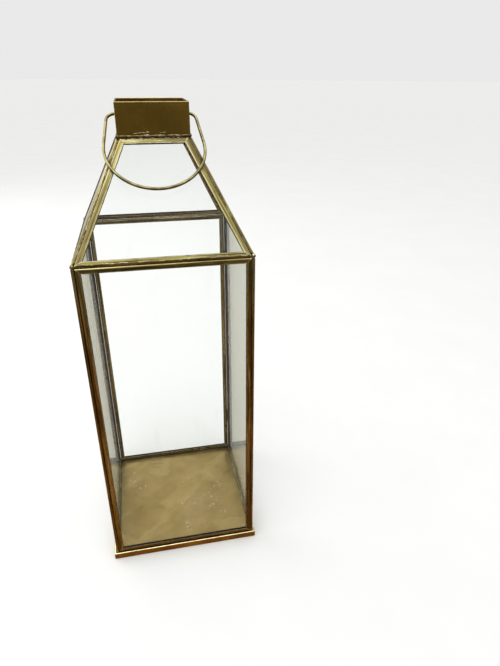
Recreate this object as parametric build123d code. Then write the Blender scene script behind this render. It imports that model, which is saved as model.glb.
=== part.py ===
from build123d import *
from math import cos, radians, sin, tan
import os

# A square hurricane lantern of brass and glass, in millimetres.
#
# It stands on +Z with its base centred on the origin, and its front faces -Y. Four upright walls
# and four sloping roof panels are glass panes edged with brass came, a U-shaped strip that is
# mitred at each corner. The rear wall is a hinged door. A folded sheet chimney stands on the roof
# and carries a wire bail. Each panel is drawn flat, seen from outside, and then put in its place.

# Driving dimensions: the whole lantern
body_width = 178.0
tray_width = 183.0
tray_height = 9.0
eave_height = 392.3
roof_slope = radians(63.6)
chimney_width = 70.0
overall_height = 532.5

# Driving dimensions: sheet, came and glass
sheet = 0.6
sheet_bend = 1.0
came_thickness = 3.5
came_leg = 5.2
came_wall = 0.5
came_bend = 1.6
glass_thickness = 2.2
glass_edge_gap = 0.7
running_gap = 0.05

# Driving dimensions: base flange, chimney rim and its ledge on the roof
tray_flange = 7.0
rim_thickness = 1.4
rim_depth = 3.0
rim_rounding = 0.5
chimney_ledge = 0.8

# Driving dimensions: the bail
bail_wire = 3.0
bail_pivot_height = 519.7
bail_drop = 93.0
bail_bow_radius = 48.6
bail_bend_radius = 9.0
bail_splay = 7.0
bail_lean = radians(49.9)
bail_inner_reach = 3.0

# Driving dimensions: the door, its hinges and its turn button
door_side_gap = 0.3
door_end_gap = 0.3
hinge_height = 20.0
hinge_end_distance = 60.0
knuckle_radius = 1.1
knuckle_length = 6.0
knuckle_gap = 0.2
knuckle_standoff = 0.25
pin_radius = 0.6
pin_head_radius = 1.0
pin_head_height = 0.6
leaf_thickness = 0.45
leaf_clearance = 0.2
frame_leaf_reach = 3.5
door_leaf_reach = 5.3
button_width = 3.0
button_reach = 8.5
button_thickness = 0.9
button_gap = 0.1
rivet_radius = 0.6
rivet_head_radius = 1.3
rivet_head_height = 0.8

# Driving dimensions: solder
seam_leg = 1.2
hip_seam_root = 0.2
hip_seam_shoulder = 2.0
hip_seam_crown = 2.5
eave_seam_depth = 1.75
knuckle_solder_height = 3.5
knuckle_solder_rounding = 1.4
bead_overhang = 0.3
bead_waist = 0.6
bead_height = 2.4
panel_gap = 0.05

# Sizes that follow
half_body = body_width / 2
half_chimney = chimney_width / 2
inner_half = half_body - came_thickness
hip_inset = came_thickness * sin(roof_slope)
roof_foot = eave_height + came_thickness * cos(roof_slope)
roof_run = half_body - half_chimney - chimney_ledge
roof_length = roof_run / cos(roof_slope)
roof_top = roof_foot + roof_run * tan(roof_slope)
chimney_foot = roof_top - chimney_ledge / tan(roof_slope)
hinge_x = inner_half - door_side_gap / 2
hinge_y = half_body + knuckle_standoff + knuckle_radius
button_pivot_x = -(half_body - came_thickness / 2)
button_pivot_z = (tray_height + eave_height) / 2

QUARTER_TURNS = {"front": 0, "right": 90, "rear": 180, "left": 270}
EDGES = ["bottom", "right", "top", "left"]


def inset(outline, distance):
    """Return a convex outline, listed counter-clockwise, with each edge moved inward."""
    moved = []
    for index, corner in enumerate(outline):
        before = (corner - outline[index - 1]).normalized()
        after = (outline[(index + 1) % len(outline)] - corner).normalized()
        inward_before = Vector(-before.Y, before.X)
        inward_after = Vector(-after.Y, after.X)
        share = distance / (1 + inward_before.dot(inward_after))
        moved.append(corner + (inward_before + inward_after) * share)
    return moved


def plate(outline, thickness):
    """Return a flat plate with its outer face at height 0."""
    return extrude(make_face(Polyline(*outline, close=True)), -thickness)


def block(low, high):
    """Return a box from its lowest to its highest corner."""
    low = Vector(*low)
    high = Vector(*high)
    size = high - low
    centre = (low + high) * 0.5
    return Pos(centre.X, centre.Y, centre.Z) * Box(size.X, size.Y, size.Z)


def rectangle_outline(half_width, bottom, top):
    """Return an upright rectangle, counter-clockwise from its lower left corner."""
    return trapezoid_outline(half_width, half_width, bottom, top)


def trapezoid_outline(bottom_half, top_half, bottom, top):
    """Return a trapezoid, counter-clockwise from its lower left corner."""
    return [
        Vector(-bottom_half, bottom),
        Vector(bottom_half, bottom),
        Vector(top_half, top),
        Vector(-top_half, top),
    ]


def came_section():
    """Return the U of the came: x runs in from its back, and y is 0 on its outer face."""
    outside = Pos(came_leg / 2, -came_thickness / 2) * Rectangle(came_leg, came_thickness)
    outside = fillet(outside.vertices().group_by(Axis.X)[0], came_bend)
    channel_depth = came_leg - came_wall
    channel_width = came_thickness - 2 * came_wall
    channel = Rectangle(channel_depth, channel_width)
    channel = fillet(channel.vertices().group_by(Axis.X)[0], came_bend - came_wall)
    return outside - Pos(came_wall + channel_depth / 2, -came_thickness / 2) * channel


def came_strip(outline, index):
    """Return the strip of came along one edge of a panel, cut to a mitre at both ends."""
    start = outline[index]
    end = outline[(index + 1) % len(outline)]
    along = (end - start).normalized()
    inward = Vector(-along.Y, along.X)
    overrun = came_thickness
    section_plane = Plane(origin=start - along * overrun, x_dir=inward, z_dir=along)
    bar = extrude(section_plane * came_section(), (end - start).length + 2 * overrun)
    outer = inset(outline, -overrun)
    inner = inset(outline, came_leg + overrun)
    following = (index + 1) % len(outline)
    sector = [outer[index], outer[following], inner[following], inner[index]]
    return bar & Pos(0, 0, overrun) * plate(sector, came_thickness + 2 * overrun)


def make_panel(name, outline, placing):
    """Return a framed pane's five nodes: four strips of came and the glass."""
    nodes = {}
    for index, edge in enumerate(EDGES):
        nodes[f"{name}_{edge}_came"] = placing * came_strip(outline, index)
    pane_outline = inset(outline, came_wall + glass_edge_gap)
    pane_depth = (came_thickness - glass_thickness) / 2
    pane = Pos(0, 0, -pane_depth) * plate(pane_outline, glass_thickness)
    nodes[f"{name}_glass"] = placing * pane
    return nodes


def make_walls():
    """Return the fixed walls. The front wall stands between the two side walls."""
    wall_plane = Plane(origin=(0, -half_body, 0), x_dir=(1, 0, 0), z_dir=(0, -1, 0))
    half_widths = {"front": inner_half, "right": half_body, "left": half_body}
    nodes = {}
    for side, half_width in half_widths.items():
        outline = rectangle_outline(half_width, tray_height, eave_height)
        placing = Rot(0, 0, QUARTER_TURNS[side]) * wall_plane.location
        nodes.update(make_panel(f"{side}_wall", outline, placing))
    return nodes


def make_door():
    """Return the rear door, which fills the frame less a working gap all round."""
    door_plane = Plane(origin=(0, half_body, 0), x_dir=(-1, 0, 0), z_dir=(0, 1, 0))
    half_width = inner_half - door_side_gap
    outline = rectangle_outline(half_width, tray_height + door_end_gap, eave_height - door_end_gap)
    return make_panel("door", outline, door_plane.location)


def make_roof():
    """Return four sloping panels whose inner edges meet along the hips."""
    outward = (0, -sin(roof_slope), cos(roof_slope))
    roof_plane = Plane(origin=(0, -half_body, roof_foot), x_dir=(1, 0, 0), z_dir=outward)
    bottom_half = half_body - hip_inset - panel_gap
    top_half = bottom_half - roof_run
    outline = trapezoid_outline(bottom_half, top_half, 0, roof_length)
    nodes = {}
    for side, turn in QUARTER_TURNS.items():
        placing = Rot(0, 0, turn) * roof_plane.location
        nodes.update(make_panel(f"{side}_roof", outline, placing))
    return nodes


def make_base_tray():
    """Return the base: a flat floor with a folded skirt and a return flange underneath."""
    half = tray_width / 2
    pan = block((-half, -half, 0), (half, half, tray_height))
    pan = fillet(pan.edges().filter_by(Axis.Z) + pan.edges().group_by(Axis.Z)[-1], sheet_bend)
    inside = half - sheet
    hollow = block((-inside, -inside, sheet), (inside, inside, tray_height - sheet))
    mouth_half = half - tray_flange
    mouth = block((-mouth_half, -mouth_half, -sheet), (mouth_half, mouth_half, 2 * sheet))
    return pan - hollow - mouth


def make_chimney():
    """Return the open square chimney, with a thick folded rim and two holes for the bail."""
    outside = block((-half_chimney, -half_chimney, chimney_foot),
                    (half_chimney, half_chimney, overall_height))
    outside = fillet(outside.edges().filter_by(Axis.Z), sheet_bend)
    wall_inside = half_chimney - sheet
    bore = block((-wall_inside, -wall_inside, chimney_foot - sheet),
                 (wall_inside, wall_inside, overall_height - rim_depth))
    rim_inside = half_chimney - rim_thickness
    mouth = block((-rim_inside, -rim_inside, chimney_foot),
                  (rim_inside, rim_inside, overall_height + sheet))
    chimney = outside - bore - mouth
    chimney = fillet(chimney.faces().sort_by(Axis.Z)[-1].edges(), rim_rounding)
    hole_radius = bail_wire / 2 + running_gap
    drill = Cylinder(hole_radius, chimney_width + 2, rotation=(0, 90, 0))
    return chimney - Pos(0, 0, bail_pivot_height) * drill


def make_bail():
    """Return the wire bail, leaning forward on the hips of the roof."""
    splay = radians(bail_splay)
    bow_centre_drop = bail_drop - bail_bow_radius
    leg_height = bow_centre_drop - bail_bow_radius * sin(splay)
    corner_x = bail_bow_radius * cos(splay) - leg_height * tan(splay)
    bend_turn = 90 - bail_splay
    bend_cut = bail_bend_radius * tan(radians(bend_turn / 2))
    leg_length = leg_height / cos(splay) - bend_cut
    wire_end = half_chimney - sheet - bail_inner_reach

    stub = Line((wire_end, 0), (corner_x - bend_cut, 0))
    right_bend = JernArc(stub @ 1, stub % 1, bail_bend_radius, -bend_turn)
    right_leg = Line(right_bend @ 1, right_bend @ 1 + (right_bend % 1) * leg_length)
    bow = JernArc(right_leg @ 1, right_leg % 1, bail_bow_radius, -(180 + 2 * bail_splay))
    left_leg = Line(bow @ 1, bow @ 1 + (bow % 1) * leg_length)
    left_bend = JernArc(left_leg @ 1, left_leg % 1, bail_bend_radius, -bend_turn)
    left_stub = Line(left_bend @ 1, (-wire_end, 0))
    path = Wire([stub, right_bend, right_leg, bow, left_leg, left_bend, left_stub])

    wire = sweep(Plane(origin=path @ 0, z_dir=path % 0) * Circle(bail_wire / 2), path)
    leaning_plane = Plane(origin=(0, 0, bail_pivot_height), x_dir=(1, 0, 0),
                          z_dir=(0, -cos(bail_lean), sin(bail_lean)))
    return leaning_plane.location * wire


def hinge_knuckle(bottom, length):
    """Return one knuckle around the hinge axis."""
    ring = Circle(knuckle_radius) - Circle(pin_radius + running_gap)
    return Pos(hinge_x, hinge_y, bottom) * extrude(ring, length)


def hinge_leaf(side, reach, bottom, spans):
    """Return a leaf: side is 1 for the frame's and -1 for the door's, spans its knuckles."""
    plate_start = knuckle_radius + leaf_clearance
    near_x, far_x = sorted([hinge_x + side * plate_start, hinge_x + side * reach])
    leaf = block((near_x, half_body, bottom),
                 (far_x, half_body + leaf_thickness, bottom + hinge_height))
    tab_near, tab_far = sorted([hinge_x, hinge_x + side * (plate_start + leaf_clearance)])
    tab_back = half_body + knuckle_standoff
    for span_bottom, length in spans:
        knuckle = hinge_knuckle(span_bottom, length)
        tab = block((tab_near, tab_back, span_bottom),
                    (tab_far, half_body + leaf_thickness + leaf_clearance, span_bottom + length))
        bore = Pos(hinge_x, hinge_y, span_bottom) * extrude(Circle(pin_radius + running_gap), length)
        leaf = leaf + knuckle + (tab - bore)
    return leaf


def make_hinge(name, centre_z):
    """Return a butt hinge's two leaves and its headed pin."""
    bottom = centre_z - hinge_height / 2
    top = centre_z + hinge_height / 2
    outer_spans = [(bottom, knuckle_length), (top - knuckle_length, knuckle_length)]
    middle_length = hinge_height - 2 * (knuckle_length + knuckle_gap)
    middle_spans = [(bottom + knuckle_length + knuckle_gap, middle_length)]
    head = fillet(Cylinder(pin_head_radius, pin_head_height).edges().group_by(Axis.Z)[-1],
                  pin_head_height / 2)
    shank = Pos(hinge_x, hinge_y, centre_z) * Cylinder(pin_radius, hinge_height)
    head = Pos(hinge_x, hinge_y, top + pin_head_height / 2) * head
    return {
        f"{name}_hinge_frame_leaf": hinge_leaf(1, frame_leaf_reach, bottom, outer_spans),
        f"{name}_hinge_door_leaf": hinge_leaf(-1, door_leaf_reach, bottom, middle_spans),
        f"{name}_hinge_pin": shank + head,
    }


def make_turn_button():
    """Return the button, hanging down clear of the door, and the rivet that it turns on."""
    back = half_body + button_gap
    front = back + button_thickness
    pivot = Plane(origin=(button_pivot_x, back, button_pivot_z), x_dir=(1, 0, 0), z_dir=(0, 1, 0))
    shape = Pos(0, button_reach / 2) * Rot(0, 0, 90) * SlotCenterToCenter(button_reach, button_width)
    shape = shape - Circle(rivet_radius + running_gap)
    button = pivot.location * extrude(shape, button_thickness)

    head_back = front + button_gap
    shank_plane = Plane(origin=(button_pivot_x, half_body, button_pivot_z), z_dir=(0, 1, 0))
    shank = shank_plane.location * extrude(Circle(rivet_radius), head_back - half_body)
    head = extrude(Circle(rivet_head_radius), rivet_head_height)
    head = fillet(head.edges().group_by(Axis.Z)[-1], rivet_head_height / 2)
    head = Plane(origin=(button_pivot_x, head_back, button_pivot_z), z_dir=(0, 1, 0)).location * head
    return {"turn_button": button, "turn_button_rivet": shank + head}


def around(solid):
    """Return four copies of a solid, one for each side of the lantern."""
    return Compound(children=[Rot(0, 0, turn) * solid for turn in QUARTER_TURNS.values()])


def make_hip_seams():
    """Return the solder in the four valleys between the roof panels."""
    hip = Vector(-cos(roof_slope), cos(roof_slope), sin(roof_slope)).normalized()
    front_normal = Vector(0, -sin(roof_slope), cos(roof_slope))
    right_normal = Vector(sin(roof_slope), 0, cos(roof_slope))
    outward = (front_normal + right_normal).normalized()
    valley_slope = front_normal.cross(outward).length / front_normal.dot(outward)
    shoulder_x = hip_seam_shoulder * valley_slope
    section = make_face(Polyline(
        (0, hip_seam_root), (shoulder_x, hip_seam_shoulder), (0, hip_seam_crown),
        (-shoulder_x, hip_seam_shoulder), close=True))
    foot = Vector(half_body - hip_inset, -(half_body - hip_inset), eave_height)
    start = foot + hip * knuckle_solder_height
    seam_length = (chimney_foot - start.Z) / hip.Z - hip_seam_crown
    section_plane = Plane(origin=start, x_dir=outward.cross(hip), z_dir=hip)
    return around(extrude(section_plane * section, seam_length))


def make_eave_knuckles():
    """Return the rounded solder at the four corners, where the hips meet the walls."""
    inner = half_body - hip_inset + panel_gap
    knuckle = block((inner, -half_body, eave_height),
                    (half_body, -inner, eave_height + knuckle_solder_height))
    rounded = knuckle.edges().group_by(Axis.Z)[-1] + knuckle.edges().filter_by(Axis.Z)
    return around(fillet(rounded, knuckle_solder_rounding))


def make_eave_seams():
    """Return the solder that fills the groove between the walls and the roof, on all four sides."""
    rest_y = -(half_body - hip_inset)
    front_y = rest_y - eave_seam_depth
    groove_top = eave_height + eave_seam_depth / tan(roof_slope)
    section = make_face(Polyline(
        (rest_y, eave_height), (front_y, eave_height), (front_y, groove_top), close=True))
    half_length = half_body - hip_inset - panel_gap
    seam_plane = Plane(origin=(-half_length, 0, 0), x_dir=(0, 1, 0), z_dir=(1, 0, 0))
    return around(extrude(seam_plane * section, 2 * half_length))


def make_chimney_bead():
    """Return the bead of solder that runs round the foot of the chimney."""
    ledge_y = -(half_chimney + chimney_ledge)
    section = make_face(Polyline(
        (-half_chimney, chimney_foot), (ledge_y, roof_top),
        (ledge_y - bead_overhang, roof_top + bead_waist),
        (ledge_y, roof_top + 2 * bead_waist),
        (-half_chimney, roof_top + bead_height), close=True))
    half_length = half_chimney - sheet_bend
    bead_plane = Plane(origin=(-half_length, 0, 0), x_dir=(0, 1, 0), z_dir=(1, 0, 0))
    return around(extrude(bead_plane * section, 2 * half_length))


def make_corner_seams():
    """Return the solder inside the two front corners, which joins the front and side walls."""
    triangle = make_face(Polyline(
        (inner_half, -inner_half), (inner_half, -inner_half + seam_leg),
        (inner_half - seam_leg, -inner_half), close=True))
    bottom = tray_height + came_leg
    right = extrude(Pos(0, 0, bottom) * triangle, eave_height - came_leg - bottom)
    return Compound(children=[right, mirror(right, Plane.YZ)])


def make_floor_seams():
    """Return the solder inside the foot of the three fixed walls, which joins them to the base."""
    triangle = make_face(Polyline(
        (-inner_half, tray_height), (-inner_half + seam_leg, tray_height),
        (-inner_half, tray_height + seam_leg), close=True))
    half_length = inner_half - 2 * seam_leg
    seam_plane = Plane(origin=(-half_length, 0, 0), x_dir=(0, 1, 0), z_dir=(1, 0, 0))
    seam = extrude(seam_plane * triangle, 2 * half_length)
    sides = ["front", "right", "left"]
    return Compound(children=[Rot(0, 0, QUARTER_TURNS[side]) * seam for side in sides])


def make_lantern():
    """Return every node of the lantern by name."""
    nodes = {"base_tray": make_base_tray()}
    nodes.update(make_walls())
    nodes.update(make_door())
    nodes.update(make_roof())
    nodes["chimney"] = make_chimney()
    nodes["bail"] = make_bail()
    nodes.update(make_hinge("upper", eave_height - hinge_end_distance))
    nodes.update(make_hinge("lower", tray_height + hinge_end_distance))
    nodes.update(make_turn_button())
    nodes["hip_solder_seams"] = make_hip_seams()
    nodes["eave_solder_knuckles"] = make_eave_knuckles()
    nodes["eave_solder_seams"] = make_eave_seams()
    nodes["chimney_solder_bead"] = make_chimney_bead()
    nodes["corner_solder_seams"] = make_corner_seams()
    nodes["floor_solder_seams"] = make_floor_seams()
    return nodes


os.makedirs("parts", exist_ok=True)
for node_name, node_shape in make_lantern().items():
    export_step(node_shape, f"parts/{node_name}.step")
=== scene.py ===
import math

import bmesh
import bpy
from mathutils import Matrix, Vector, noise


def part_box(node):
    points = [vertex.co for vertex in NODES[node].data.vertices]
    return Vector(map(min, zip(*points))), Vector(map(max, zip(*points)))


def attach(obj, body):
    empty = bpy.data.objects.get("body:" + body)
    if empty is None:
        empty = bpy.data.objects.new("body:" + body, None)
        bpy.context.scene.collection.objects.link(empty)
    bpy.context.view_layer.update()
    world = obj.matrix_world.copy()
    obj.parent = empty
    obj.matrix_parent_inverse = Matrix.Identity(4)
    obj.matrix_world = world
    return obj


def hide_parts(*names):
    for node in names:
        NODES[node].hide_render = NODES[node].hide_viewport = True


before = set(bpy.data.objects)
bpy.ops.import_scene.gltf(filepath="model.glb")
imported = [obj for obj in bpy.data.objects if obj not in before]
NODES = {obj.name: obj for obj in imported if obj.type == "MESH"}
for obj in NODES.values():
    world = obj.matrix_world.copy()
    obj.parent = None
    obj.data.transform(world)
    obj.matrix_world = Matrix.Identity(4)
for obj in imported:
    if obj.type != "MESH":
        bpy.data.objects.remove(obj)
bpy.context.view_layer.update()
MM = 0.001

# The camera looks slightly to the right, and well down, on the lantern from in front of it
CAMERA_PLACE = Vector((-18.4, -565.0, 560.7)) * MM
CAMERA_HEADING = math.radians(12.11)
CAMERA_DOWN = math.radians(27.43)
CAMERA_ROLL = math.radians(0.35)
CAMERA_LENS = 27.6
SENSOR = 36.0

# The lantern's own dimensions
TOP_CAME_LOW, TOP_CAME_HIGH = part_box("front_wall_top_came")
HALF_BODY = -TOP_CAME_LOW.y
EAVE = TOP_CAME_HIGH.z
CAME_THICKNESS = TOP_CAME_HIGH.y + HALF_BODY
CAME_LEG = TOP_CAME_HIGH.z - TOP_CAME_LOW.z
SHEET = 0.6 * MM
ROOF_SLOPE = math.radians(63.6)
VALLEY_FOOT = HALF_BODY - CAME_THICKNESS * math.sin(ROOF_SLOPE)

# The front roof panel: the way down it, and the way it faces
ROOF_DOWN = Vector((0, -math.cos(ROOF_SLOPE), -math.sin(ROOF_SLOPE)))
ROOF_OUTWARD = Vector((0, -math.sin(ROOF_SLOPE), math.cos(ROOF_SLOPE)))

TURNS = {"front": 0, "right": 90, "rear": 180, "left": 270}
X_AXIS = (1.0, 0.0, 0.0)
Z_AXIS = (0.0, 0.0, 1.0)

# How finely the solder beads are modelled
BEAD_STEP = 0.8 * MM
BEAD_SIDES = 12

# Where solder has run up the chimney: the side, and from where to where along it in mm
CHIMNEY_RIPPLES = (("front", -20, -4), ("front", 5, 12), ("right", -12, 6), ("rear", -9, 14),
                   ("left", -15, 3))

# How many crumbs of solder lie on a roof panel's top came, and how many smears on its bottom one
CRUMBS = 14
SMEARS = 9
SMEAR_STEPS = 12

# The line of cement beside the came: how far it is from the panel's edge, and from its face
CEMENT_INSET = CAME_LEG + 0.02 * MM
CEMENT_DEPTH = 0.55 * MM

# The tray: the outside radius of its folds and the steps round one, the waves in its skirt, the
# rows across its skirt and flange, and the cells along a side of its floor
TRAY_BEND = 1.0 * MM
TRAY_BEND_STEPS = 6
TRAY_WAVE = 0.12 * MM
TRAY_SKIRT_ROWS = (0.7, 0.5, 0.3)
TRAY_FLANGE_ROWS = (2.5 * MM, 5.0 * MM, 7.0 * MM)
TRAY_CELLS = 110

# How deep the tray's floor is dented, and bowed and creased between its facets
TRAY_DENTS = 0.80 * MM
TRAY_FACETS = 0.75 * MM
TRAY_CREASES = 0.22 * MM


# ---------------------------------------------------------------- node building

class Nodes:
    """Builds one node tree, for a material or for the world."""

    def __init__(self, tree):
        self.tree = tree
        self.tree.nodes.clear()

    def add(self, kind, inputs=None, **settings):
        """Add a node, set its properties, and set or link its inputs by name or number."""
        node = self.tree.nodes.new(kind)
        for key, value in settings.items():
            setattr(node, key, value)
        for key, value in (inputs or {}).items():
            if isinstance(value, bpy.types.NodeSocket):
                self.tree.links.new(value, node.inputs[key])
            else:
                node.inputs[key].default_value = value
        return node

    def place(self):
        """Return the point being shaded, in metres."""
        return self.add("ShaderNodeTexCoord").outputs["Object"]

    def noise(self, vector, size, detail=3.0, rough=0.55):
        """Return noise from 0 to 1 whose features are about size metres across."""
        inputs = {"Vector": vector, "Scale": 1 / size, "Detail": detail, "Roughness": rough}
        return self.add("ShaderNodeTexNoise", inputs).outputs["Fac"]

    def span(self, value, low, high, to_low=0.0, to_high=1.0):
        """Return value taken smoothly from low..high to to_low..to_high."""
        inputs = {0: value, 1: low, 2: high, 3: to_low, 4: to_high}
        node = self.add("ShaderNodeMapRange", inputs, interpolation_type="SMOOTHSTEP")
        return node.outputs["Result"]

    def math(self, operation, first, second=0.0):
        """Return the result of an operation on one or two numbers."""
        return self.add("ShaderNodeMath", {0: first, 1: second}, operation=operation).outputs[0]

    def mix(self, factor, first, second):
        """Return a colour mixed from two."""
        inputs = {"Factor": factor, 6: first, 7: second}
        return self.add("ShaderNodeMix", inputs, data_type="RGBA").outputs[2]

    def drawn_out(self, vector, direction, stretch):
        """Return coordinates in which noise is stretched along a direction."""
        along = self.add("ShaderNodeVectorMath", {0: vector, 1: direction}, operation="DOT_PRODUCT")
        less = self.math("MULTIPLY", along.outputs["Value"], 1 / stretch - 1)
        shift = self.add("ShaderNodeVectorMath", {0: direction, "Scale": less}, operation="SCALE")
        return self.add("ShaderNodeVectorMath", {0: vector, 1: shift.outputs[0]}).outputs[0]

    def edges(self, radius):
        """Return 1 on sharp edges, and 0 on flat and gently rounded faces."""
        soft = self.add("ShaderNodeBevel", {"Radius": radius}, samples=6).outputs[0]
        true = self.add("ShaderNodeNewGeometry").outputs["Normal"]
        alike = self.add("ShaderNodeVectorMath", {0: soft, 1: true}, operation="DOT_PRODUCT")
        return self.span(alike.outputs["Value"], 0.995, 0.90)

    def crevices(self, reach):
        """Return 1 deep in creases and corners, and 0 on open faces."""
        node = self.add("ShaderNodeAmbientOcclusion", {"Distance": reach}, samples=8)
        return self.span(node.outputs["AO"], 0.90, 0.42)

    def bump(self, height, strength, distance, normal=None):
        """Return a surface direction dented by a height, on top of an earlier one if given."""
        inputs = {"Height": height, "Strength": strength, "Distance": distance}
        if normal is not None:
            inputs["Normal"] = normal
        return self.add("ShaderNodeBump", inputs).outputs["Normal"]

    def principled(self, **inputs):
        """Add the surface shader, its inputs named with underscores for spaces."""
        named = {key.replace("_", " "): value for key, value in inputs.items()}
        return self.add("ShaderNodeBsdfPrincipled", named)

    def output(self, shader, kind="ShaderNodeOutputMaterial"):
        """Make a shader the tree's result."""
        self.add(kind, {"Surface": shader.outputs[0]})


def new_material(name):
    """Return a new material and the builder of its nodes."""
    material = bpy.data.materials.new(name)
    material.use_nodes = True
    return material, Nodes(material.node_tree)


def rgb(red, green, blue):
    """Return an opaque colour."""
    return (red, green, blue, 1.0)


# ---------------------------------------------------------------- materials

# Near black: grime in specks and pits, and painted shade in creases and corners
GRIME_AND_SHADE = rgb(0.020, 0.014, 0.006)
OLD = rgb(0.150, 0.105, 0.026)
BRASS = rgb(0.345, 0.295, 0.085)
RUBBED = rgb(0.580, 0.540, 0.300)
POLISHED = rgb(0.780, 0.730, 0.430)

# The world: what lights the lantern, what is behind it, and what its metal and its glass mirror
LIGHT = rgb(1.0, 1.0, 1.0)
BACKDROP = rgb(0.82, 0.82, 0.82)
DIM_ROOM = rgb(0.16, 0.145, 0.115)
BRIGHT_CEILING = rgb(1.95, 1.95, 1.86)
PALE_ROOM = rgb(0.58, 0.55, 0.45)


def make_brass(name, along, old=OLD, brass=BRASS, roughness=0.28, stretch=7.0,
               patch=12 * MM, worn=0.9, dent=0.12 * MM, brushed=1.0, tarnished=0.75):
    """Aged brass: patches and streaks drawn out along the metal, grime and painted shade in creases, bright
    edges.

    old and brass are its darkest and its usual colour, and patch is how wide its patches are. dent
    is how deep it is dented. worn, brushed and tarnished, from 0 to 1, are how much of each it has.
    """
    material, n = new_material(name)
    place = n.place()
    lengthwise = n.drawn_out(place, along, stretch)
    stained = tuple(0.4 * part for part in old[:3]) + (1.0,)

    patches = n.span(n.noise(lengthwise, patch, 4.0), 0.36, 0.66)
    colour = n.mix(patches, old, brass)
    tarnish = n.span(n.noise(lengthwise, patch / 4, 5.0, 0.7), 0.54, 0.74, 0.0, tarnished)
    colour = n.mix(tarnish, colour, stained)
    streaks = n.noise(n.drawn_out(place, along, 30.0), 2.2 * MM, 3.0, 0.6)
    colour = n.mix(n.span(streaks, 0.49, 0.36, 0.0, 0.9 * brushed), colour, stained)
    colour = n.mix(n.span(streaks, 0.54, 0.66, 0.0, 0.8 * brushed), colour, RUBBED)
    lines = n.noise(n.drawn_out(place, along, 60.0), 0.45 * MM, 3.0, 0.6)
    colour = n.mix(n.span(lines, 0.5, 0.8, 0.0, 0.35 * brushed), colour, brass)
    specks = n.span(n.noise(place, 1.1 * MM, 2.0), 0.68, 0.74, 0.0, 0.7)
    colour = n.mix(specks, colour, GRIME_AND_SHADE)

    wear = n.span(n.noise(place, 7 * MM), 0.3, 0.6, 0.3, worn)
    edge = n.math("MULTIPLY", n.edges(1.3 * MM), wear)
    colour = n.mix(edge, colour, POLISHED)
    # Painted shade: near black laid where the occlusion mask finds creases and corners, with grime there too
    crease = n.crevices(3 * MM)
    colour = n.mix(n.math("MULTIPLY", crease, 0.9), colour, GRIME_AND_SHADE)

    shine = n.span(n.noise(place, patch, 4.0), 0.3, 0.7, roughness - 0.06, roughness + 0.09)
    shine = n.math("ADD", shine, n.math("MULTIPLY", tarnish, 0.18))
    shine = n.math("ADD", shine, n.math("MULTIPLY", crease, 0.2))
    shine = n.math("ADD", shine, n.span(lines, 0.3, 0.7, -0.03 * brushed, 0.04 * brushed))

    normal = n.bump(n.noise(lengthwise, 7 * MM, 2.0), 1.0, dent)
    normal = n.bump(streaks, 0.6 * brushed, 0.15 * MM, normal)
    normal = n.bump(lines, 0.4 * brushed, 0.02 * MM, normal)
    n.output(n.principled(Base_Color=colour, Metallic=1.0, Roughness=shine, Normal=normal,
                          Coat_Weight=0.6, Coat_Roughness=0.22, Coat_IOR=1.5))
    return material


def make_solder(name, dull, crest, polished):
    """Solder plated like the brass: bright on its crests, dark in its pits, with painted shade in its
    crevices.
    """
    material, n = new_material(name)
    place = n.place()
    lumps = n.noise(place, 1.4 * MM, 4.0, 0.6)
    colour = n.mix(n.span(lumps, 0.36, 0.60), dull, crest)
    colour = n.mix(n.span(n.noise(place, 13 * MM, 4.0), 0.52, 0.66, 0.0, 0.75), colour, polished)
    pits = n.span(n.noise(place, 0.6 * MM, 2.0), 0.62, 0.72, 0.0, 0.8)
    colour = n.mix(pits, colour, GRIME_AND_SHADE)
    # Painted shade: darkened where the occlusion mask finds crevices
    colour = n.mix(n.math("MULTIPLY", n.crevices(1.5 * MM), 0.8), colour, GRIME_AND_SHADE)
    shine = n.span(lumps, 0.3, 0.7, 0.44, 0.22)
    normal = n.bump(lumps, 0.9, 0.2 * MM)
    normal = n.bump(n.math("SUBTRACT", 1.0, pits), 0.7, 0.1 * MM, normal)
    n.output(n.principled(Base_Color=colour, Metallic=1.0, Roughness=shine, Normal=normal))
    return material


def make_cement():
    """Dark glazing cement, which also stands for painted shade between the glass and the came: dull, and
    paler where it is dry.
    """
    material, n = new_material("glazing_cement")
    place = n.place()
    dry = n.span(n.noise(place, 4 * MM, 4.0), 0.45, 0.7, 0.0, 0.7)
    colour = n.mix(dry, rgb(0.022, 0.017, 0.009), rgb(0.085, 0.070, 0.040))
    normal = n.bump(n.noise(place, 0.5 * MM, 3.0), 0.6, 0.08 * MM)
    n.output(n.principled(Base_Color=colour, Roughness=n.span(dry, 0.0, 0.7, 0.55, 0.8), Normal=normal))
    return material


def smudged_sheet(n, place):
    """Return the tray's colour before its border and facets, its smudges, and its marks' height."""
    smudges = n.span(n.noise(place, 45 * MM, 5.0, 0.6), 0.35, 0.68)
    colour = n.mix(smudges, rgb(0.233, 0.166, 0.062), rgb(0.300, 0.220, 0.090))
    wiped = n.noise(n.drawn_out(place, (0.8, 0.6, 0.0), 6.0), 9 * MM, 4.0)
    colour = n.mix(n.span(wiped, 0.5, 0.75, 0.0, 0.35), colour, rgb(0.350, 0.268, 0.118))
    scratches = n.noise(n.drawn_out(place, (0.5, 0.87, 0.0), 40.0), 0.7 * MM, 2.0)
    scratches = n.span(scratches, 0.70, 0.74, 0.0, 0.5)
    spots = n.span(n.noise(place, 2.2 * MM, 3.0), 0.70, 0.76, 0.0, 0.6)
    colour = n.mix(n.math("MAXIMUM", scratches, spots), colour, rgb(0.11, 0.08, 0.03))
    return colour, smudges, n.math("ADD", scratches, n.math("MULTIPLY", spots, 0.5))


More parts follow.
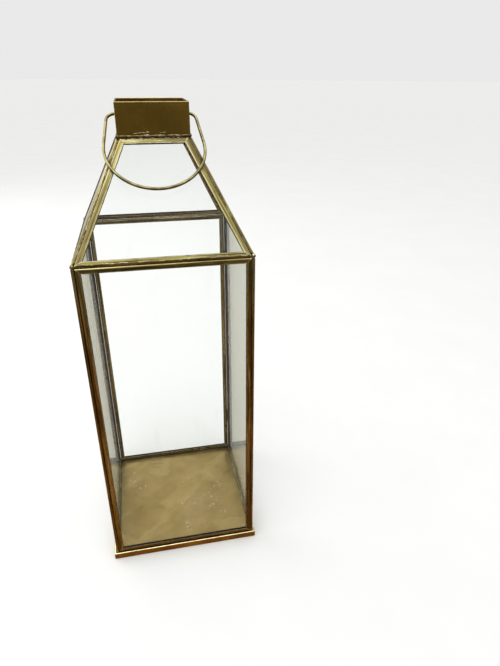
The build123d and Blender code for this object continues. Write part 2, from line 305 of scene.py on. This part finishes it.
def add_facets(n, place, colour):
    """Return a colour with flat facets of different tones, and painted shade along creases between some of
    them.

    Also return how far each point is from a crease, and from the middle of its facet.
    """
    bent = n.add("ShaderNodeTexNoise", {"Vector": place, "Scale": 22.0, "Detail": 2.0}).outputs["Color"]
    bent = n.add("ShaderNodeVectorMath", {0: bent, "Scale": 22 * MM}, operation="SCALE").outputs[0]
    bent = n.add("ShaderNodeVectorMath", {0: place, 1: bent}).outputs[0]
    cells = n.add("ShaderNodeTexVoronoi", {"Vector": bent, "Scale": 1 / (45 * MM)},
                  feature="DISTANCE_TO_EDGE")
    facets = n.add("ShaderNodeTexVoronoi", {"Vector": bent, "Scale": 1 / (48 * MM), "Smoothness": 0.18},
                   feature="SMOOTH_F1")
    tone = n.add("ShaderNodeSeparateXYZ", {0: facets.outputs["Color"]}).outputs["X"]
    colour = n.mix(n.span(tone, 0.25, 0.75, 0.0, 0.26), colour, rgb(0.375, 0.290, 0.130))
    colour = n.mix(n.span(tone, 0.45, 0.10, 0.0, 0.22), colour, rgb(0.190, 0.135, 0.048))
    # Painted shade: dark lines along the creases between some facets
    creases = n.span(cells.outputs["Distance"], 0.03, 0.0)
    creases = n.math("MULTIPLY", creases, n.span(n.noise(place, 28 * MM, 2.0), 0.56, 0.66))
    colour = n.mix(n.math("MULTIPLY", creases, 0.55), colour, rgb(0.12, 0.09, 0.03))
    return colour, cells.outputs["Distance"], facets.outputs["Distance"]


def make_tray_brass():
    """The tray's dull sheet: smudged and scratched, with painted shade round its border, along its creases
    and in its crevices, and a painted highlight on its bend.
    """
    material, n = new_material("dull_brass_sheet")
    place = n.place()
    colour, smudges, marks = smudged_sheet(n, place)

    # How far a point is from the middle, which is the same all round the border
    split = n.add("ShaderNodeSeparateXYZ", {0: place})
    away = n.math("MAXIMUM", n.math("ABSOLUTE", split.outputs["X"]), n.math("ABSOLUTE", split.outputs["Y"]))
    # Painted shade: darker towards the foot of the walls, all round the border
    border = n.span(away, HALF_BODY - 18 * MM, HALF_BODY - 3 * MM, 0.0, 0.55)
    border = n.math("MULTIPLY", border, n.span(n.noise(place, 20 * MM, 3.0), 0.3, 0.7, 0.3, 1.0))
    colour = n.mix(border, colour, rgb(0.13, 0.10, 0.035))

    colour, from_crease, from_middle = add_facets(n, place, colour)
    flecks = n.span(n.noise(place, 1.8 * MM, 2.0), 0.66, 0.70, 0.0, 0.9)
    flecks = n.math("MULTIPLY", flecks, n.span(n.noise(place, 35 * MM, 2.0), 0.56, 0.64))
    colour = n.mix(flecks, colour, rgb(0.80, 0.76, 0.62))

    # The skirt, and a painted highlight along the bend at its top
    skirt = n.span(away, HALF_BODY + 1.0 * MM, HALF_BODY + 1.6 * MM)
    colour = n.mix(skirt, colour, n.mix(smudges, rgb(0.30, 0.215, 0.055), rgb(0.50, 0.38, 0.11)))
    # Painted highlight: a pale colour laid along the bend at the top of the skirt
    bend = n.math("MULTIPLY", skirt, n.span(split.outputs["Z"], 7.4 * MM, 8.2 * MM))
    bright = n.math("MULTIPLY", bend, n.span(n.noise(place, 11 * MM, 3.0), 0.35, 0.6, 0.45, 1.0))
    colour = n.mix(bright, colour, rgb(0.78, 0.69, 0.45))
    # Painted shade: darkened where the occlusion mask finds crevices
    colour = n.mix(n.math("MULTIPLY", n.crevices(3 * MM), 0.8), colour, GRIME_AND_SHADE)

    shine = n.span(n.noise(place, 30 * MM, 4.0), 0.3, 0.7, 0.33, 0.48)
    shine = n.math("SUBTRACT", shine, n.math("MULTIPLY", skirt, 0.16))
    shine = n.math("SUBTRACT", shine, n.math("MULTIPLY", bright, 0.06))
    normal = n.bump(n.span(from_crease, 0.0, 0.35), 0.6, 0.9 * MM)
    normal = n.bump(from_middle, 0.7, 1.6 * MM, normal)
    normal = n.bump(n.noise(place, 20 * MM, 2.0), 0.5, 0.3 * MM, normal)
    normal = n.bump(marks, 0.3, 0.03 * MM, normal)
    n.output(n.principled(Base_Color=colour, Metallic=1.0, Roughness=shine, Normal=normal))
    return material


def make_glass():
    """Thin clear glass that mirrors more at a low angle, with faint smears and specks of dust."""
    material, n = new_material("clear_glass")
    place = n.place()
    facing = n.add("ShaderNodeLayerWeight", {"Blend": 0.5}).outputs["Facing"]
    low_angle = n.math("POWER", facing, 5.0)
    mirrored = n.math("ADD", n.math("MULTIPLY", low_angle, 0.97), 0.010)
    tint = n.mix(low_angle, rgb(0.988, 0.994, 0.990), rgb(0.66, 0.67, 0.63))
    clear = n.add("ShaderNodeBsdfTransparent", {"Color": tint})
    mirror = n.add("ShaderNodeBsdfAnisotropic", {"Color": rgb(1.0, 1.0, 1.0), "Roughness": 0.0})
    pane = n.add("ShaderNodeMixShader", {0: mirrored, 1: clear.outputs[0], 2: mirror.outputs[0]})

    smears = n.span(n.noise(n.drawn_out(place, Z_AXIS, 3.0), 30 * MM, 5.0, 0.6), 0.55, 0.8, 0.0, 0.035)
    specks = n.span(n.noise(place, 0.9 * MM, 1.0), 0.78, 0.82, 0.0, 0.3)
    dusty = n.span(n.noise(n.drawn_out(place, Z_AXIS, 2.0), 20 * MM, 4.0), 0.35, 0.7, 0.03, 0.12)
    dust = n.add("ShaderNodeBsdfDiffuse", {"Color": rgb(0.70, 0.73, 0.68)})
    haze = n.math("ADD", n.math("MAXIMUM", smears, specks), n.math("MULTIPLY", low_angle, dusty))
    n.output(n.add("ShaderNodeMixShader", {0: haze, 1: pane.outputs[0], 2: dust.outputs[0]}))
    return material


def make_pale_floor_material():
    """The pale floor, very slightly uneven in tone."""
    material, n = new_material("pale_floor")
    grain = n.noise(n.place(), 150 * MM, 3.0)
    colour = n.mix(n.span(grain, 0.3, 0.7), rgb(0.80, 0.80, 0.79), rgb(0.815, 0.815, 0.805))
    n.output(n.principled(Base_Color=colour, Roughness=0.8))
    return material


def make_card_material():
    """The dark warm tabletop that only the metal's reflections see: the glass's pass through it."""
    material, n = new_material("tabletop_card")
    grain = n.noise(n.drawn_out(n.place(), X_AXIS, 8.0), 20 * MM, 4.0)
    colour = n.mix(n.span(grain, 0.3, 0.7), rgb(0.32, 0.135, 0.030), rgb(0.48, 0.210, 0.050))
    metal_sees = n.principled(Base_Color=colour, Roughness=0.7)
    glass_sees = n.add("ShaderNodeBsdfTransparent")
    perfect = n.add("ShaderNodeLightPath").outputs["Is Singular Ray"]
    n.output(n.add("ShaderNodeMixShader", {0: perfect, 1: metal_sees.outputs[0], 2: glass_sees.outputs[0]}))
    return material


# ---------------------------------------------------------------- dressing the CAD nodes

def came_direction(name):
    """Return a came node's direction, unit length, from its box."""
    low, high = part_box(name)
    size = high - low
    edge = name.split("_")[-2]
    if "_roof_" in name and edge in ("left", "right"):
        centre = (low + high) / 2
        steep = Vector((-math.copysign(size.x, centre.x), -math.copysign(size.y, centre.y), size.z))
        return tuple(round(part, 2) for part in steep.normalized())
    longest = max(range(3), key=lambda axis: size[axis])
    return tuple(1.0 if axis == longest else 0.0 for axis in range(3))


def paint(obj, material):
    """Give every material slot of an object one material."""
    if not obj.material_slots:
        obj.data.materials.append(material)
    for slot in obj.material_slots:
        slot.material = material


def soften(obj, width):
    """Round an object's sharp edges by a width, and shade it smooth between them."""
    for polygon in obj.data.polygons:
        polygon.use_smooth = True
    bevel = obj.modifiers.new("soft_edges", "BEVEL")
    bevel.width = width
    bevel.segments = 2
    bevel.limit_method = "ANGLE"
    bevel.angle_limit = math.radians(40)
    bevel.harden_normals = True


def dress_cad_nodes(glass, solder, tray):
    """Give the CAD nodes their materials and soft edges."""
    came_brass = {}
    sheet = make_brass("dark_brass_sheet", Z_AXIS,
                       old=rgb(0.300, 0.182, 0.017), brass=rgb(0.385, 0.243, 0.028),
                       roughness=0.25, stretch=2.0, patch=45 * MM, worn=1.0, dent=0.4 * MM,
                       brushed=0.04, tarnished=0.14)
    wire = make_brass("brass_wire", X_AXIS,
                      old=rgb(0.120, 0.095, 0.028), brass=rgb(0.300, 0.265, 0.100),
                      roughness=0.20, stretch=1.0, patch=10 * MM, brushed=0.2)
    hardware = make_brass("brass_hardware", Z_AXIS,
                          old=rgb(0.220, 0.170, 0.055), brass=rgb(0.500, 0.430, 0.170))
    for name, obj in NODES.items():
        if name.endswith("_came"):
            direction = came_direction(name)
            if direction not in came_brass:
                came_brass[direction] = make_brass(f"aged_brass_came_{len(came_brass) + 1}", direction)
            paint(obj, came_brass[direction])
            soften(obj, 0.12 * MM)
        elif name.endswith("_glass"):
            paint(obj, glass)
        elif "solder" in name:
            paint(obj, solder)
        elif name == "base_tray":
            paint(obj, tray)
        elif name == "chimney":
            paint(obj, sheet)
            soften(obj, 0.15 * MM)
        elif name == "bail":
            paint(obj, wire)
            soften(obj, 0.3 * MM)
        else:
            paint(obj, hardware)
            soften(obj, 0.1 * MM)


# ---------------------------------------------------------------- solder

def turned(point, side):
    """Return a point on the front of the lantern, turned to one of its other sides."""
    return Matrix.Rotation(math.radians(TURNS[side]), 3, "Z") @ point


def wobble(point, size, seed):
    """Return smooth noise from about -1 to 1, whose features are about size metres across."""
    return noise.noise(point / size + Vector((seed * 17.3, seed * 5.1, seed * 9.7)))


def divided(corners, step, closed=False):
    """Return points about a step apart along the straight runs between corners."""
    points = []
    ends = corners[1:] + (corners[:1] if closed else [])
    for start, end in zip(corners, ends):
        count = max(1, round((end - start).length / step))
        points += [start.lerp(end, index / count) for index in range(count)]
    return points if closed else points + [corners[-1]]


def run_bead(shape, corners, outward, width, height, seed, closed=False, drips=(),
             step=BEAD_STEP, sides=BEAD_SIDES, lumpy=1.0):
    """Add to a mesh a lumpy bead of solder along straight runs, width and height from its middle.

    outward is the way it stands proud, or None on a closed run round the vertical axis. A drip is
    a place, a reach and a size: the bead swells by that size there.
    """
    path = divided(corners, step, closed)
    total = len(path)
    rings = []
    for index, point in enumerate(path):
        before = path[index - 1] if closed or index else point
        after = path[(index + 1) % total] if closed or index < total - 1 else point
        tangent = (after - before).normalized()
        facing = outward or Vector((point.x, point.y, 0)).normalized()
        side = tangent.cross(facing).normalized()
        facing = side.cross(tangent).normalized()
        swell = 1 + lumpy * (0.26 * wobble(point, 6.0 * MM, seed) + 0.16 * wobble(point, 2.0 * MM, seed + 1))
        for place, reach, size in drips:
            swell += size * math.exp(-((point - place).length / reach) ** 2)
        if not closed:
            from_end = min(index, total - 1 - index) * step
            swell *= math.sqrt(min(1.0, 0.05 + from_end / (1.5 * width)))
        ring = []
        for corner in range(sides):
            angle = 2 * math.pi * corner / sides
            offset = side * width * math.cos(angle) + facing * height * math.sin(angle)
            rough = 1 + lumpy * 0.13 * wobble(point + offset, 1.1 * MM, seed + 2)
            ring.append(shape.verts.new(point + offset * swell * rough))
        rings.append(ring)
    pairs = list(zip(rings, rings[1:])) + ([(rings[-1], rings[0])] if closed else [])
    for first, second in pairs:
        for corner in range(sides):
            following = (corner + 1) % sides
            shape.faces.new((first[corner], first[following], second[following], second[corner]))
    if not closed:
        shape.faces.new(list(reversed(rings[0])))
        shape.faces.new(rings[-1])


def add_piece(name, shape, material, body, slot, *nodes):
    """Turn a built mesh into a smooth piece that rides on a body and stands for CAD nodes."""
    bmesh.ops.recalc_face_normals(shape, faces=shape.faces)
    mesh = bpy.data.meshes.new(name)
    shape.to_mesh(mesh)
    shape.free()
    for polygon in mesh.polygons:
        polygon.use_smooth = True
    piece = bpy.data.objects.new(name, mesh)
    bpy.context.scene.collection.objects.link(piece)
    paint(piece, material)
    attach(piece, body)
    if nodes:
        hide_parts(*nodes)
    return piece


def add_blob(shape, place, size, seed, subdivisions):
    """Add to a mesh a lumpy rounded blob of solder, of a size along each axis."""
    blob = bmesh.ops.create_icosphere(shape, subdivisions=subdivisions, radius=1.0)
    for vert in blob["verts"]:
        direction = vert.co.copy()
        rough = 1 + 0.14 * wobble(direction, 0.9, seed) + 0.06 * wobble(direction, 0.3, seed + 4)
        offset = Vector((direction.x * size.x, direction.y * size.y, direction.z * size.z))
        vert.co = place + offset * rough


def add_hip_solder(material):
    """Rough seams in the four valleys between the roof panels."""
    seam_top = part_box("hip_solder_seams")[1].z
    knuckle_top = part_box("eave_solder_knuckles")[1].z
    hip = Vector((-math.cos(ROOF_SLOPE), math.cos(ROOF_SLOPE), math.sin(ROOF_SLOPE))).normalized()
    outward = Vector((math.sin(ROOF_SLOPE), -math.sin(ROOF_SLOPE), 2 * math.cos(ROOF_SLOPE))).normalized()
    proud = 1.60 * MM
    start = Vector((VALLEY_FOOT, -VALLEY_FOOT, EAVE)) + outward * proud
    foot = start + hip * ((knuckle_top - start.z) / hip.z)
    top = start + hip * ((seam_top - start.z) / hip.z)
    shape = bmesh.new()
    for index, side in enumerate(TURNS):
        run_bead(shape, [turned(foot, side), turned(top, side)], turned(outward, side),
                 width=1.15 * MM, height=0.50 * MM, seed=index, lumpy=0.9)
    add_piece("hip_solder", shape, material, "lantern", "brass_solder", "hip_solder_seams")


def add_eave_solder(material):
    """Thin uneven seams in the groove between the walls and the roof."""
    low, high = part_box("eave_solder_seams")
    y = low.y + 0.55 * MM
    z = EAVE + 0.62 * MM
    reach = 0.975
    shape = bmesh.new()
    for index, side in enumerate(TURNS):
        ends = [turned(Vector((x, y, z)), side) for x in (low.x * reach, high.x * reach)]
        run_bead(shape, ends, turned(Vector((0, -1, 0)), side),
                 width=0.62 * MM, height=0.50 * MM, seed=10 + index)
    add_piece("eave_solder", shape, material, "lantern", "brass_solder", "eave_solder_seams")


def add_eave_knuckles(material):
    """A rounded blob of solder at each corner of the eaves."""
    low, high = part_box("eave_solder_knuckles")
    inset = 1.5 * MM
    middle = Vector((high.x - inset, -(high.y - inset), (low.z + high.z) / 2))
    shape = bmesh.new()
    for index, side in enumerate(TURNS):
        add_blob(shape, turned(middle, side), Vector((1.95, 1.95, 2.2)) * MM,
                 seed=20 + index, subdivisions=4)
    add_piece("eave_knuckle_solder", shape, material, "lantern", "brass_solder", "eave_solder_knuckles")


def add_chimney_solder(material):
    """The rough bead that runs round the chimney's foot, with one drip in front."""
    low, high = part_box("chimney_solder_bead")
    half = high.x - 0.7 * MM
    z = low.z + 1.35 * MM
    corner = 1.2 * MM
    outline = []
    for side in TURNS:
        outline += [turned(Vector((x, -half, z)), side) for x in (-half + corner, half - corner)]
    drip = Vector((-6.3 * MM, -half, z))
    drips = [(drip, 1.6 * MM, 0.75), (drip + Vector((25 * MM, 0, 0)), 2.5 * MM, 0.25),
             (turned(drip, "rear"), 2.2 * MM, 0.4)]
    shape = bmesh.new()
    run_bead(shape, outline, None, width=1.55 * MM, height=0.90 * MM, seed=30,
             closed=True, drips=drips, lumpy=1.3)
    add_piece("chimney_solder", shape, material, "lantern", "brass_solder", "chimney_solder_bead")


def add_chimney_ripples(shape):
    """Add to a mesh the ripples where solder ran up the chimney, and one droplet."""
    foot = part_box("chimney_solder_bead")[0].z
    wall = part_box("chimney")[0].y
    for index, (side, start, end) in enumerate(CHIMNEY_RIPPLES):
        ripple = []
        for x in range(start, end + 1):
            rise = (4.3 + 1.2 * wobble(Vector((x, 0, 0)), 4.5, 32 + index)) * MM
            ripple.append(turned(Vector((x * MM, wall - 0.05 * MM, foot + rise)), side))
        run_bead(shape, ripple, turned(Vector((0, -1, 0)), side),
                 width=0.30 * MM, height=0.26 * MM, seed=34 + index)
    droplet = Vector((-5.6 * MM, wall, foot + 4.6 * MM))
    add_blob(shape, droplet, Vector((1.5, 0.7, 1.2)) * MM, seed=38, subdivisions=4)


def jitter(index, row, seed):
    """Return a number from about -1 to 1 for one of a row of splashes."""
    return wobble(Vector((index, row, 0)), 0.7, seed)


def add_crumbs(shape, top_left, top_right, side, seed):
    """Add to a mesh the crumbs of solder on one roof panel's top came."""
    for index in range(CRUMBS):
        share = (index + 0.5 + 0.45 * jitter(index, 0, seed)) / CRUMBS
        place = top_right.lerp(top_left, 0.06 + 0.88 * share)
        place += ROOF_DOWN * (1.0 + 0.7 * jitter(index, 1, seed + 1)) * MM
        size = 0.62 + 0.30 * jitter(index, 2, seed + 2)
        add_blob(shape, turned(place, side), Vector((size, size, 0.7 * size)) * MM,
                 seed=seed + index, subdivisions=2)


def add_smears(shape, foot_left, foot_right, side, seed):
    """Add to a mesh the smears of solder along one roof panel's bottom came."""
    for index in range(SMEARS):
        start = (index + 0.15 + 0.25 * jitter(index, 3, seed)) / SMEARS
        end = start + (0.62 + 0.30 * jitter(index, 4, seed)) / SMEARS
        smear = []
        for step in range(SMEAR_STEPS + 1):
            share = start + (end - start) * step / SMEAR_STEPS
            place = foot_left.lerp(foot_right, 0.02 + 0.96 * share)
            rise = 1.75 + 0.9 * wobble(place, 5.0 * MM, seed + index)
            smear.append(turned(place - ROOF_DOWN * rise * MM - ROOF_OUTWARD * 0.04 * MM, side))
        run_bead(shape, smear, turned(ROOF_OUTWARD, side),
                 width=0.52 * MM, height=0.22 * MM, seed=seed + index, lumpy=1.5)


def add_solder_splashes(material):
    """Solder that ran up the chimney, and spilt on the top and bottom cames of the roof."""
    shape = bmesh.new()
    add_chimney_ripples(shape)
    for index, side in enumerate(TURNS):
        seed = 200 + 20 * index
        foot_left, foot_right, top_right, top_left = panel_corners("roof", side)
        add_crumbs(shape, top_left, top_right, side, seed)
        add_smears(shape, foot_left, foot_right, side, seed)
    add_piece("solder_splashes", shape, material, "lantern", "brass_solder")


def add_inner_solder(material):
    """Fillets of solder inside the front corners, and inside the foot of the fixed walls."""
    low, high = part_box("corner_solder_seams")
    shape = bmesh.new()
    inset = 0.35 * MM
    for index, (x, sign) in enumerate(((low.x, 1), (high.x, -1))):
        foot = Vector((x + sign * inset, low.y + inset, low.z))
        run_bead(shape, [foot, Vector((foot.x, foot.y, high.z))], Vector((sign, 1, 0)).normalized(),
                 width=0.95 * MM, height=0.60 * MM, seed=40 + index)
    add_piece("corner_solder", shape, material, "lantern", "brass_solder", "corner_solder_seams")

    low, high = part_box("floor_solder_seams")
    shape = bmesh.new()
    for index, side in enumerate(("front", "right", "left")):
        ends = [Vector((x, low.y + inset, low.z + inset)) for x in (low.y + 2.5 * MM, -low.y - 2.5 * MM)]
        run_bead(shape, [turned(end, side) for end in ends], turned(Vector((0, 1, 1)).normalized(), side),
                 width=0.95 * MM, height=0.60 * MM, seed=44 + index)
    add_piece("floor_solder", shape, material, "lantern", "brass_solder", "floor_solder_seams")


def panel_corners(panel, side):
    """Return a panel's outer corners, counter-clockwise from below, as seen from outside, in front."""
    if panel == "roof":
        foot_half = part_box("front_roof_bottom_came")[1].x
        top_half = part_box("front_roof_top_came")[1].x
        run = foot_half - top_half
        rise = run * math.tan(ROOF_SLOPE)
        foot_z = EAVE + CAME_THICKNESS * math.cos(ROOF_SLOPE)
        return [Vector((x, -HALF_BODY + y, foot_z + z)) for x, y, z in
                ((-foot_half, 0, 0), (foot_half, 0, 0), (top_half, run, rise), (-top_half, run, rise))]
    name = "door" if side == "rear" else f"{side}_wall"
    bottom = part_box(f"{name}_bottom_came")[0]
    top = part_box(f"{name}_top_came")[1]
    half = top.y if side in ("right", "left") else top.x
    return [Vector((x, -HALF_BODY, z)) for x, z in
            ((-half, bottom.z), (half, bottom.z), (half, top.z), (-half, top.z))]


def panels():
    """Yield every panel: its corners, the way it faces, the side it is on and the body it is on."""
    for panel in ("wall", "roof"):
        for side in TURNS:
            corners = panel_corners(panel, side)
            facing = (corners[1] - corners[0]).cross(corners[3] - corners[0]).normalized()
            body = "door" if panel == "wall" and side == "rear" else "lantern"
            yield corners, facing, side, body


def mitres(corners):
    """Return each corner's way in along its mitre, for a step of one in from both its edges."""
    ways = []
    for index, corner in enumerate(corners):
        to_next = (corners[(index + 1) % 4] - corner).normalized()
        to_last = (corners[index - 1] - corner).normalized()
        ways.append((to_next + to_last) / to_next.cross(to_last).length)
    return ways


def add_mitre_solder(material):
    """Solder rubbed almost flush along the mitres at the corners of every panel."""
    shapes = {"lantern": bmesh.new(), "door": bmesh.new()}
    seed = 50
    for corners, facing, side, body in panels():
        for corner, mitre in zip(corners, mitres(corners)):
            sunk = corner - facing * 0.22 * MM
            ends = [sunk + mitre * inset for inset in (1.2 * MM, CAME_LEG - 0.3 * MM)]
            run_bead(shapes[body], [turned(end, side) for end in ends], turned(facing, side),
                     width=0.55 * MM, height=0.36 * MM, seed=seed)
            seed += 1
    add_piece("mitre_solder", shapes["lantern"], material, "lantern", "brass_solder")
    add_piece("door_mitre_solder", shapes["door"], material, "door", "brass_solder")


def add_glazing_cement(material):
    """The dark line of cement, also a painted shade, between the glass and the came, on both faces of every
    pane.
    """
    shapes = {"lantern": bmesh.new(), "door": bmesh.new()}
    seed = 100
    for corners, facing, side, body in panels():
        for depth, way in ((CEMENT_DEPTH, facing), (CAME_THICKNESS - CEMENT_DEPTH, -facing)):
            loop = []
            for corner, mitre in zip(corners, mitres(corners)):
                loop.append(turned(corner - facing * depth + mitre * CEMENT_INSET, side))
            for start, end in zip(loop, loop[1:] + loop[:1]):
                run_bead(shapes[body], [start, end], turned(way, side),
                         width=0.34 * MM, height=0.36 * MM, seed=seed, step=2.4 * MM, sides=6, lumpy=0.9)
                seed += 1
    add_piece("glazing_cement", shapes["lantern"], material, "lantern", "aged_brass_came")
    add_piece("door_glazing_cement", shapes["door"], material, "door", "aged_brass_came")


# ---------------------------------------------------------------- tray

def add_tray_floor(shape, flat_half, top):
    """Add to a mesh the creased floor, and return the vertices round its edge in order."""
    grid = []
    for row in range(TRAY_CELLS + 1):
        line = []
        for column in range(TRAY_CELLS + 1):
            x = flat_half * (2 * column / TRAY_CELLS - 1)
            y = flat_half * (2 * row / TRAY_CELLS - 1)
            line.append(shape.verts.new((x, y, top - tray_sag(x, y, flat_half))))
        grid.append(line)
    for near, far in zip(grid, grid[1:]):
        for column in range(TRAY_CELLS):
            shape.faces.new((near[column], near[column + 1], far[column + 1], far[column]))
    front_and_right = grid[0][:-1] + [line[-1] for line in grid[:-1]]
    rear_and_left = grid[-1][:0:-1] + [line[0] for line in grid[:0:-1]]
    return front_and_right + rear_and_left


def tray_profile(half, top):
    """Return the half width and height at each step down the skirt and in along the flange."""
    flat_half = half - TRAY_BEND
    profile = []
    angles = [math.pi / 2 * step / TRAY_BEND_STEPS for step in range(TRAY_BEND_STEPS + 1)]
    for angle in angles[1:]:
        height = top - TRAY_BEND + TRAY_BEND * math.cos(angle)
        profile.append((flat_half + TRAY_BEND * math.sin(angle), height))
    profile += [(half, top * share) for share in TRAY_SKIRT_ROWS]
    for angle in angles:
        profile.append((flat_half + TRAY_BEND * math.cos(angle), TRAY_BEND - TRAY_BEND * math.sin(angle)))
    profile += [(half - reach, 0.0) for reach in TRAY_FLANGE_ROWS]
    return profile


def add_tray(material):
    """The base: one sheet of brass with a creased floor, folded down into a skirt and a flange."""
    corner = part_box("base_tray")[1]
    half = corner.x
    top = corner.z
    shape = bmesh.new()
    ring = add_tray_floor(shape, half - TRAY_BEND, top)
    for width, z in tray_profile(half, top):
        wave = 0.0 if z in (0.0, top) else TRAY_WAVE
        following = []
        for vert in ring:
            scale = width / max(abs(vert.co.x), abs(vert.co.y))
            place = Vector((vert.co.x * scale, vert.co.y * scale, z))
            dent = wave * (wobble(place, 28 * MM, 70) - 1.0) * 0.5 * math.sin(math.pi * z / top)
            place.x *= 1 + dent / half
            place.y *= 1 + dent / half
            following.append(shape.verts.new(place))
        for index in range(len(ring)):
            after = (index + 1) % len(ring)
            shape.faces.new((ring[index], ring[after], following[after], following[index]))
        ring = following
    tray = add_piece("tray_sheet", shape, material, "lantern", "dull_brass_sheet", "base_tray")
    thickness = tray.modifiers.new("sheet", "SOLIDIFY")
    thickness.thickness = SHEET
    thickness.offset = -1.0
    thickness.use_even_offset = True


def tray_sag(x, y, half):
    """Return how far the tray's floor dips at a point: broad dents, and creases between them."""
    place = Vector((x, y, 0.0))
    broad = 0.5 + 0.5 * wobble(place, 46 * MM, 80)
    bent = place + Vector((wobble(place, 30 * MM, 81), wobble(place, 30 * MM, 82), 0)) * 9 * MM
    nearest, second = noise.voronoi(bent / (42 * MM))[0][:2]
    to_crease = min(1.0, second - nearest)
    crease = math.exp(-(to_crease / 0.16) ** 2)
    from_edge = min(1.0, (half - max(abs(x), abs(y))) / (8 * MM))
    return from_edge * (TRAY_DENTS * broad + TRAY_FACETS * nearest + TRAY_CREASES * (1 - crease))


# ---------------------------------------------------------------- stage

def make_disc(name, radius, height, material):
    """Add a level disc to the stage."""
    mesh = bpy.data.meshes.new(name)
    shape = bmesh.new()
    bmesh.ops.create_circle(shape, cap_ends=True, radius=radius, segments=96)
    shape.to_mesh(mesh)
    shape.free()
    disc = bpy.data.objects.new(name, mesh)
    disc.location.z = height
    bpy.context.scene.collection.objects.link(disc)
    paint(disc, material)
    return disc


def make_stage():
    """A pale floor, and under it a dark tabletop that only the metal's reflections see."""
    floor = make_disc("pale_floor", 30.0, 0.0, make_pale_floor_material())
    floor.visible_glossy = False
    card = make_disc("tabletop_card", 0.85, -0.4 * MM, make_card_material())
    card.visible_camera = False
    card.visible_diffuse = False
    card.visible_transmission = False
    card.visible_shadow = False


def make_area_light(name, place, target, size, power):
    """Add a rectangular soft light that shines on a target."""
    data = bpy.data.lights.new(name, "AREA")
    data.shape = "RECTANGLE"
    data.size, data.size_y = size
    data.energy = power
    light = bpy.data.objects.new(name, data)
    light.location = place
    light.rotation_mode = "QUATERNION"
    light.rotation_quaternion = (Vector(target) - Vector(place)).to_track_quat("-Z", "Y")
    bpy.context.scene.collection.objects.link(light)
    return light


def make_world():
    """Even pale light. The metal mirrors a dim room under a bright ceiling, the glass a paler room."""
    world = bpy.data.worlds.new("studio")
    world.use_nodes = True
    n = Nodes(world.node_tree)
    direction = n.add("ShaderNodeSeparateXYZ", {0: n.add("ShaderNodeTexCoord").outputs["Generated"]})
    ceiling = n.math("ADD", n.span(direction.outputs["Z"], 0.06, 0.58, 0.0, 0.55),
                     n.span(direction.outputs["Z"], 0.45, 1.0, 0.0, 0.45))
    room = n.mix(ceiling, DIM_ROOM, BRIGHT_CEILING)
    path = n.add("ShaderNodeLightPath")
    low = n.span(direction.outputs["Z"], 0.40, 0.05)
    room = n.mix(n.math("MULTIPLY", low, path.outputs["Is Singular Ray"]), room, PALE_ROOM)
    mirrored = n.math("MULTIPLY", path.outputs["Is Glossy Ray"], path.outputs["Is Reflection Ray"])
    light = n.mix(mirrored, LIGHT, room)
    light = n.mix(path.outputs["Is Camera Ray"], light, BACKDROP)
    n.output(n.add("ShaderNodeBackground", {"Color": light}), "ShaderNodeOutputWorld")
    bpy.context.scene.world = world


def make_camera():
    """Add the scene's camera."""
    data = bpy.data.cameras.new("camera")
    data.lens = CAMERA_LENS
    data.sensor_width = SENSOR
    data.clip_start = 0.01
    data.clip_end = 100.0
    camera = bpy.data.objects.new("camera", data)
    bpy.context.scene.collection.objects.link(camera)
    forward = Vector((math.sin(CAMERA_HEADING) * math.cos(CAMERA_DOWN),
                      math.cos(CAMERA_HEADING) * math.cos(CAMERA_DOWN),
                      -math.sin(CAMERA_DOWN)))
    turn = forward.to_track_quat("-Z", "Y").to_matrix() @ Matrix.Rotation(CAMERA_ROLL, 3, "Z")
    camera.matrix_world = Matrix.Translation(CAMERA_PLACE) @ turn.to_4x4()
    bpy.context.scene.camera = camera


# ---------------------------------------------------------------- the lantern and its studio

solder = make_solder("brass_solder", dull=rgb(0.13, 0.095, 0.030), crest=rgb(0.50, 0.44, 0.22),
                     polished=rgb(0.50, 0.47, 0.33))
# A darker copy of the solder, which paints shade onto the beads in the hip valleys, round the chimney's foot
# and inside the lantern
shaded_solder = make_solder("shaded_solder", dull=rgb(0.05, 0.035, 0.012), crest=rgb(0.19, 0.145, 0.060),
                          polished=rgb(0.42, 0.38, 0.25))
tray_brass = make_tray_brass()
dress_cad_nodes(make_glass(), solder, tray_brass)
add_tray(tray_brass)
add_hip_solder(shaded_solder)
add_eave_solder(solder)
add_eave_knuckles(solder)
add_chimney_solder(shaded_solder)
add_solder_splashes(solder)
add_inner_solder(shaded_solder)
add_mitre_solder(solder)
add_glazing_cement(make_cement())
make_stage()
make_area_light("overhead", (-0.5, -0.4, 2.3), (0, 0, 0.3), (1.8, 1.4), power=13)
make_area_light("side_window", (-1.7, 1.15, 0.85), (0, 0, 0.4), (1.4, 1.1), power=15)
make_world()
make_camera()
bpy.context.scene.view_settings.view_transform = "Standard"
